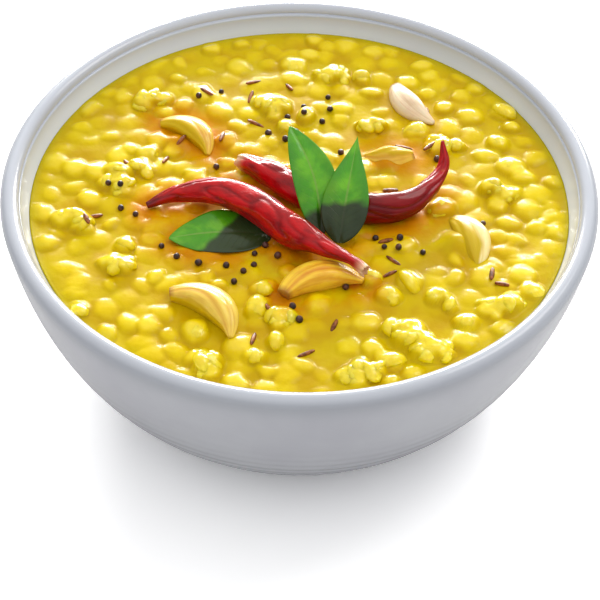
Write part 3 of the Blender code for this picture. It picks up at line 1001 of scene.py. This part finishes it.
def pressUnder(x, y, height, trees):
    # the gravy stays under what lies on it, and oil gathers round it
    oil = np.zeros(len(x))
    margin, wetted = 12 * mm, 2 * mm
    for name, (tree, low, high) in trees.items():
        near = np.flatnonzero((x > low.x - margin) & (x < high.x + margin)
                              & (y > low.y - margin) & (y < high.y + margin))
        for i in near:
            spot = Vector((x[i], y[i], dalLevel + height[i]))
            if not name.startswith("garlic"):
                under = tree.ray_cast(Vector((x[i], y[i], dalLevel - 0.03)), Vector((0, 0, 1)))[0]
                if under is not None and under.z < spot.z + 0.05 * mm:
                    over = tree.ray_cast(Vector((x[i], y[i], dalLevel + 0.05)), Vector((0, 0, -1)))[0]
                    limit = under.z + 0.3 * max(0.0, over.z - under.z)
                    height[i] = min(height[i], limit - dalLevel)
            away = tree.find_nearest(spot)[3]
            oil[i] = max(oil[i], dal["oily"].get(name, 0.1) * math.exp(-(away / (6.0 * mm)) ** 2))
            if away < wetted and not name.startswith("curry"):
                height[i] += 0.28 * mm * (1 - away / wetted) ** 2
    return oil


def gravyFinish():
    f = Finish("gravy", Roughness=0.36, Coat_Roughness=0.14, Specular_IOR_Level=0.05)
    cover = f.value("cover")
    body = f.mix(f.patches(f.place(), 0.010, 0.36, 0.64), dal["gravy"], dal["deep"])
    body = f.mix(cover, body, dal["grain"])
    small = f.times(cover, f.patches(f.place(), 0.0030, 0.44, 0.76))
    body = f.mix(f.times(small, 0.35), body, dal["cream"])
    tint = f.times(f.value("oil"), f.patches(f.place(), 0.008, 0.28, 0.54))
    body = f.mix(f.times(tint, 0.95), body, dal["oil"])
    # painted shade along the wall
    f.feed("Base Color", f.mix(f.value("shore"), body, dal["shore"]))
    shadeOrCoat = f.times(f.remap(cover, 0.40, 0.9, 0.12, 1.0), f.math("SUBTRACT", 1.0, f.times(tint, 0.92)))
    f.feed("Coat Weight", shadeOrCoat)
    f.feed("Normal", f.bump(f.relief(f.place(), 0.0020, 0.5), 0.30, 0.0008))
    f.glow(*dal["glow"])
    return f.material


def makeGravy(grains, trees, cells=276):
    edge = innerRadius(dalLevel)
    dx, dy = discGrid(cells)
    x, y = dx * edge, dy * edge
    height, cover = gravyHeights(x, y, edge, grains)
    oil = pressUnder(x, y, height, trees)
    shore = np.exp(-(edge - np.hypot(x, y)) / (1.6 * mm))
    side = cells + 1
    points = [np.column_stack((x, y, dalLevel + height))]
    corners = [i * side + j for i in range(cells) for j in range(cells)]
    faces = [(a, a + side, a + side + 1, a + 1) for a in corners]
    # the skirt follows the bowl's wall down to its floor
    last = side * side - 1
    above = (list(range(cells)) + [i * side + cells for i in range(cells)]
             + [last - j for j in range(cells)] + [last - cells - i * side for i in range(cells)])
    turns = np.arctan2(y[above], x[above])
    bottom = innerWall(0.0)[1] + 0.3 * mm
    start, count = side * side, len(above)
    for level in dal["skirt"]:
        z = bottom + (dalLevel - bottom) * level
        r = innerRadius(z)
        points.append(np.column_stack((r * np.cos(turns), r * np.sin(turns), np.full(count, z))))
        below = list(range(start, start + count))
        faces += [(above[k - 1], above[k], below[k], below[k - 1]) for k in range(count)]
        above, start = below, start + count
    points.append([(0, 0, z)])
    faces += [(above[k - 1], above[k], start) for k in range(count)]
    made = meshObject("dalGravy", np.vstack(points), faces, gravyFinish())
    faceOutwards(made.data)
    for name, values in (("cover", cover), ("oil", oil), ("shore", shore)):
        addValues(made, name, np.concatenate((values, np.zeros(start + 1 - len(values)))))
    return settle(made, "dal", "dal")


def grainShape():
    # a cooked split chickpea, round on top, flatter below, radius 1
    data = bpy.data.meshes.new("grainPattern")
    mesh = bmesh.new()
    bmesh.ops.create_icosphere(mesh, subdivisions=2, radius=1.0)
    for vert in mesh.verts:
        p = vert.co.copy()
        p.z *= 0.66 if p.z > 0 else 0.42
        p.x *= 1.06 - 0.10 * p.x
        p.y *= 0.94
        # a notch at one end
        vert.co = p * (1 - 0.12 * math.exp(-((p.x - 0.85) ** 2 + p.y**2) / 0.06))
    mesh.to_mesh(data)
    mesh.free()
    made = bpy.data.objects.new("grainPattern", data)
    bpy.context.scene.collection.objects.link(made)
    return made


def scatter(name, shape, stands, material, lump, lumpSize, seed):
    # stands the shape on every point, sized and turned, then makes each one uneven. stands holds
    # (point, scale, turn) triples.
    points, scales, turns = zip(*stands)
    piece = meshObject(name, points)
    addValues(piece, "scale", scales, "FLOAT_VECTOR")
    addValues(piece, "turn", turns, "FLOAT_VECTOR")
    g = Pattern(name + "Scatter")
    depth = g.input("Unevenness", lump)
    size = g.input("Lump size", lumpSize)
    shift = g.input("Seed", seed)
    instances = g.use("GeometryNodeInstanceOnPoints", {
        "Points": g.given.outputs["Geometry"],
        "Instance": g.use("GeometryNodeObjectInfo", {"Object": shape}, "Geometry"),
        "Rotation": g.use("FunctionNodeEulerToRotation", {0: g.named("turn")}),
        "Scale": g.named("scale"),
    }, "Instances")
    real = g.use("GeometryNodeRealizeInstances", {"Geometry": instances})
    lumps = g.use("ShaderNodeTexNoise", {
        "Vector": g.use("GeometryNodeInputPosition", {}),
        "W": shift,
        "Scale": g.math("DIVIDE", 1.0, size),
        "Detail": 2.0,
    }, "Fac", noise_dimensions="4D")
    moved = g.push(real, g.times(g.math("SUBTRACT", lumps, 0.5), depth))
    shaded = g.use("GeometryNodeSetShadeSmooth", {"Geometry": moved})
    g.bake(piece, g.use("GeometryNodeSetMaterial", {"Geometry": shaded, "Material": material}))
    bpy.data.objects.remove(shape)
    return settle(piece, "dal")


def grainFinish():
    f = Finish("dalGrain", Roughness=0.36, Coat_Weight=1.0, Coat_Roughness=0.20, Specular_IOR_Level=0.10)
    body = f.mix(f.times(f.patches(f.place(), 0.009, 0.38, 0.68), 0.35), dal["grain"], dal["gravy"])
    body = f.mix(f.times(f.patches(f.place(), 0.0022, 0.46, 0.76), 0.6), body, dal["cream"])
    f.feed("Base Color", body)
    f.feed("Normal", f.bump(f.relief(f.place(), 0.0013, 0.5), 0.55, 0.0006))
    f.glow(*dal["glow"])
    return f.material


def makeGrains(grains, rng):
    stands = []
    for x, y, radius, top, kind in grains:
        if top < dal["standsClear"]:
            continue
        tilt = rng.uniform(-0.35, 0.35) if kind < 0.75 else rng.uniform(0.5, 1.1)
        squash = rng.uniform(0.85, 1.12)
        middle = top - radius * 0.66 * squash * math.cos(min(abs(tilt), 0.6))
        scale = (radius * rng.uniform(0.95, 1.12), radius * rng.uniform(0.85, 1.02), radius * squash)
        turn = (tilt, rng.uniform(-0.3, 0.3), rng.uniform(0, 2 * math.pi))
        stands.append(((x, y, dalLevel + middle), scale, turn))
    return scatter("dalGrains", grainShape(), stands, grainFinish(), 1.1 * mm, 3.0 * mm, 2.0)


seeds = {
    "seed": 21,
    "shoreGap": 5 * mm,
}
mustard = {
    "radius": 0.95 * mm,
    "apart": 3.2 * mm,
    # loose groups over the dal: (x, y, spread, how many), in mm
    "groups": [
        (4.0, 37.0, 8, 5), (-8.0, 27.0, 7, 4), (-27.0, 40.0, 4, 2), (-22.0, 10.0, 4, 1), (-52.0, 2.0, 3, 2),
        (-44.0, -4.0, 5, 2), (-33.0, -22.0, 7, 3), (-12.0, -19.0, 6, 4), (-17.0, -29.0, 6, 3),
        (20.0, -15.0, 5, 3), (30.0, -18.0, 5, 2), (47.0, -9.0, 3, 1), (14.0, 22.0, 4, 1), (39.0, 17.0, 3, 1),
        (17.0, -37.0, 4, 1), (0.0, -46.0, 2, 2),
    ],
    "black": srgb(40, 30, 34),
    "brown": srgb(92, 54, 44),
}
cumin = {
    "length": 5.2 * mm,
    "width": 1.25 * mm,
    "apart": 4.0 * mm,
    "groups": [
        (-12.0, 46.0, 14, 5), (-34.0, 14.0, 12, 4), (36.0, 30.0, 12, 3), (54.0, -32.0, 8, 2),
        (-2.0, -48.0, 14, 4), (22.0, -24.0, 8, 3), (-58.0, -10.0, 6, 2), (30.0, 2.0, 10, 2),
    ],
    "brown": srgb(156, 88, 30),
    "dark": srgb(98, 48, 18),
}


def seedFinish(name, light, dark, roughness, size):
    f = Finish(name, Roughness=roughness, Coat_Weight=0.2, Coat_Roughness=0.12, Specular_IOR_Level=0.3)
    f.feed("Base Color", f.mix(f.patches(f.place(), size, 0.40, 0.65), light, dark))
    f.feed("Normal", f.bump(f.relief(f.place(), 0.0004, 0.3), 0.5, 0.0002))
    return f.material


def seedShape(name, material, rings, length, fullness, ribs, sides=12):
    # a closed seed along X, half a unit wide each way
    made = []
    for i in range(rings):
        share = (i + 0.5) / rings
        ring = []
        for k in range(sides):
            turn = 2 * math.pi * k / sides
            r = 0.5 * math.sin(math.pi * share) ** fullness * (1 + ribs * math.cos(turn * sides / 2))
            ring.append((-math.cos(math.pi * share) * length / 2, r * math.cos(turn), r * math.sin(turn)))
        made.append(ring)
    return ringPiece(name, made, material)


def surfacePoints(s, rng, surfaces, blocked):
    # points on top of whatever lies there, scattered round each group's middle
    edge = innerRadius(dalLevel) - seeds["shoreGap"]
    down = Vector((0, 0, -1))
    found = []
    for x, y, spread, count in s["groups"]:
        placed, tries = 0, 0
        while placed < count and tries < 300:
            tries += 1
            px = (x + rng.gauss(0, spread * 0.55)) * mm
            py = (y + rng.gauss(0, spread * 0.55)) * mm
            if math.hypot(px, py) > edge:
                continue
            above = Vector((px, py, dalLevel + 0.04))
            if any(tree.ray_cast(above, down)[0] for tree in blocked):
                continue
            if any(math.hypot(px - p.x, py - p.y) < s["apart"] for p, n in found):
                continue
            hits = [tree.ray_cast(above, down)[:2] for tree in surfaces]
            found.append(max((hit for hit in hits if hit[0] is not None), key=lambda hit: hit[0].z))
            placed += 1
    return found


def makeSeeds(pieces, blocked):
    rng = random.Random(seeds["seed"])
    graph = bpy.context.evaluated_depsgraph_get()
    surfaces = [BVHTree.FromObject(piece, graph) for piece in pieces]
    stands = []
    for spot, normal in surfacePoints(mustard, rng, surfaces, blocked):
        size = 2 * mustard["radius"] * rng.uniform(0.86, 1.12)
        point = spot + normal * size * rng.uniform(0.18, 0.36)
        stands.append((point, (size, size * 0.96, size * 0.93), [rng.uniform(0, 6) for axis in range(3)]))
    black = seedFinish("mustardSeed", mustard["black"], mustard["brown"], 0.32, 0.0015)
    ball = seedShape("mustardPattern", black, 8, 1.0, 1.0, 0.0)
    scatter("mustardSeeds", ball, stands, black, 0.10 * mm, 0.8 * mm, 4.0)
    stands = []
    for spot, normal in surfacePoints(cumin, rng, surfaces, blocked):
        width = cumin["width"] * rng.uniform(0.85, 1.1)
        length = cumin["length"] / 4.2 * rng.uniform(0.75, 1.1)
        turn = (0.0, rng.uniform(-0.25, 0.25), rng.uniform(0, 2 * math.pi))
        stands.append((spot + normal * width * 0.15, (length, width, width * 0.85), turn))
    brown = seedFinish("cuminSeed", cumin["brown"], cumin["dark"], 0.5, 0.001)
    spindle = seedShape("cuminPattern", brown, 12, 4.2, 0.8, 0.10)
    scatter("cuminSeeds", spindle, stands, brown, 0.12 * mm, 1.2 * mm, 6.0)


def buildAll():
    makeCamera(cameraSet)
    makeStudio(studio)
    print("camera, light and floor are in place")
    makeBowl()
    toppings = [makeChilli(name, s) for name, s in chillies.items()]
    green = leafFinish()
    toppings += [makeLeaf(name, s, green) for name, s in leaves.items()]
    tones = {tone: cloveFinish(tone) for tone in cloveTones}
    toppings += [makeClove(name, s, tones[s["tone"]]) for name, s in cloves.items()]
    print("toppings are in place")
    bpy.context.view_layer.update()
    graph = bpy.context.evaluated_depsgraph_get()
    trees = {o.name: BVHTree.FromObject(o, graph) for o in toppings}
    boxes = {}
    for o in toppings:
        corners = [Vector(c) for c in o.bound_box]
        boxes[o.name] = (trees[o.name], Vector(map(min, *corners)), Vector(map(max, *corners)))
    rng = random.Random(dal["seed"])
    grains = clearOfToppings(scatterGrains(rng), trees)
    surfaces = [makeGravy(grains, boxes), makeGrains(grains, rng)]
    print("dal is in place with", len(grains), "grains")
    makeSeeds(surfaces, trees.values())
    print("seeds are in place")


buildAll()
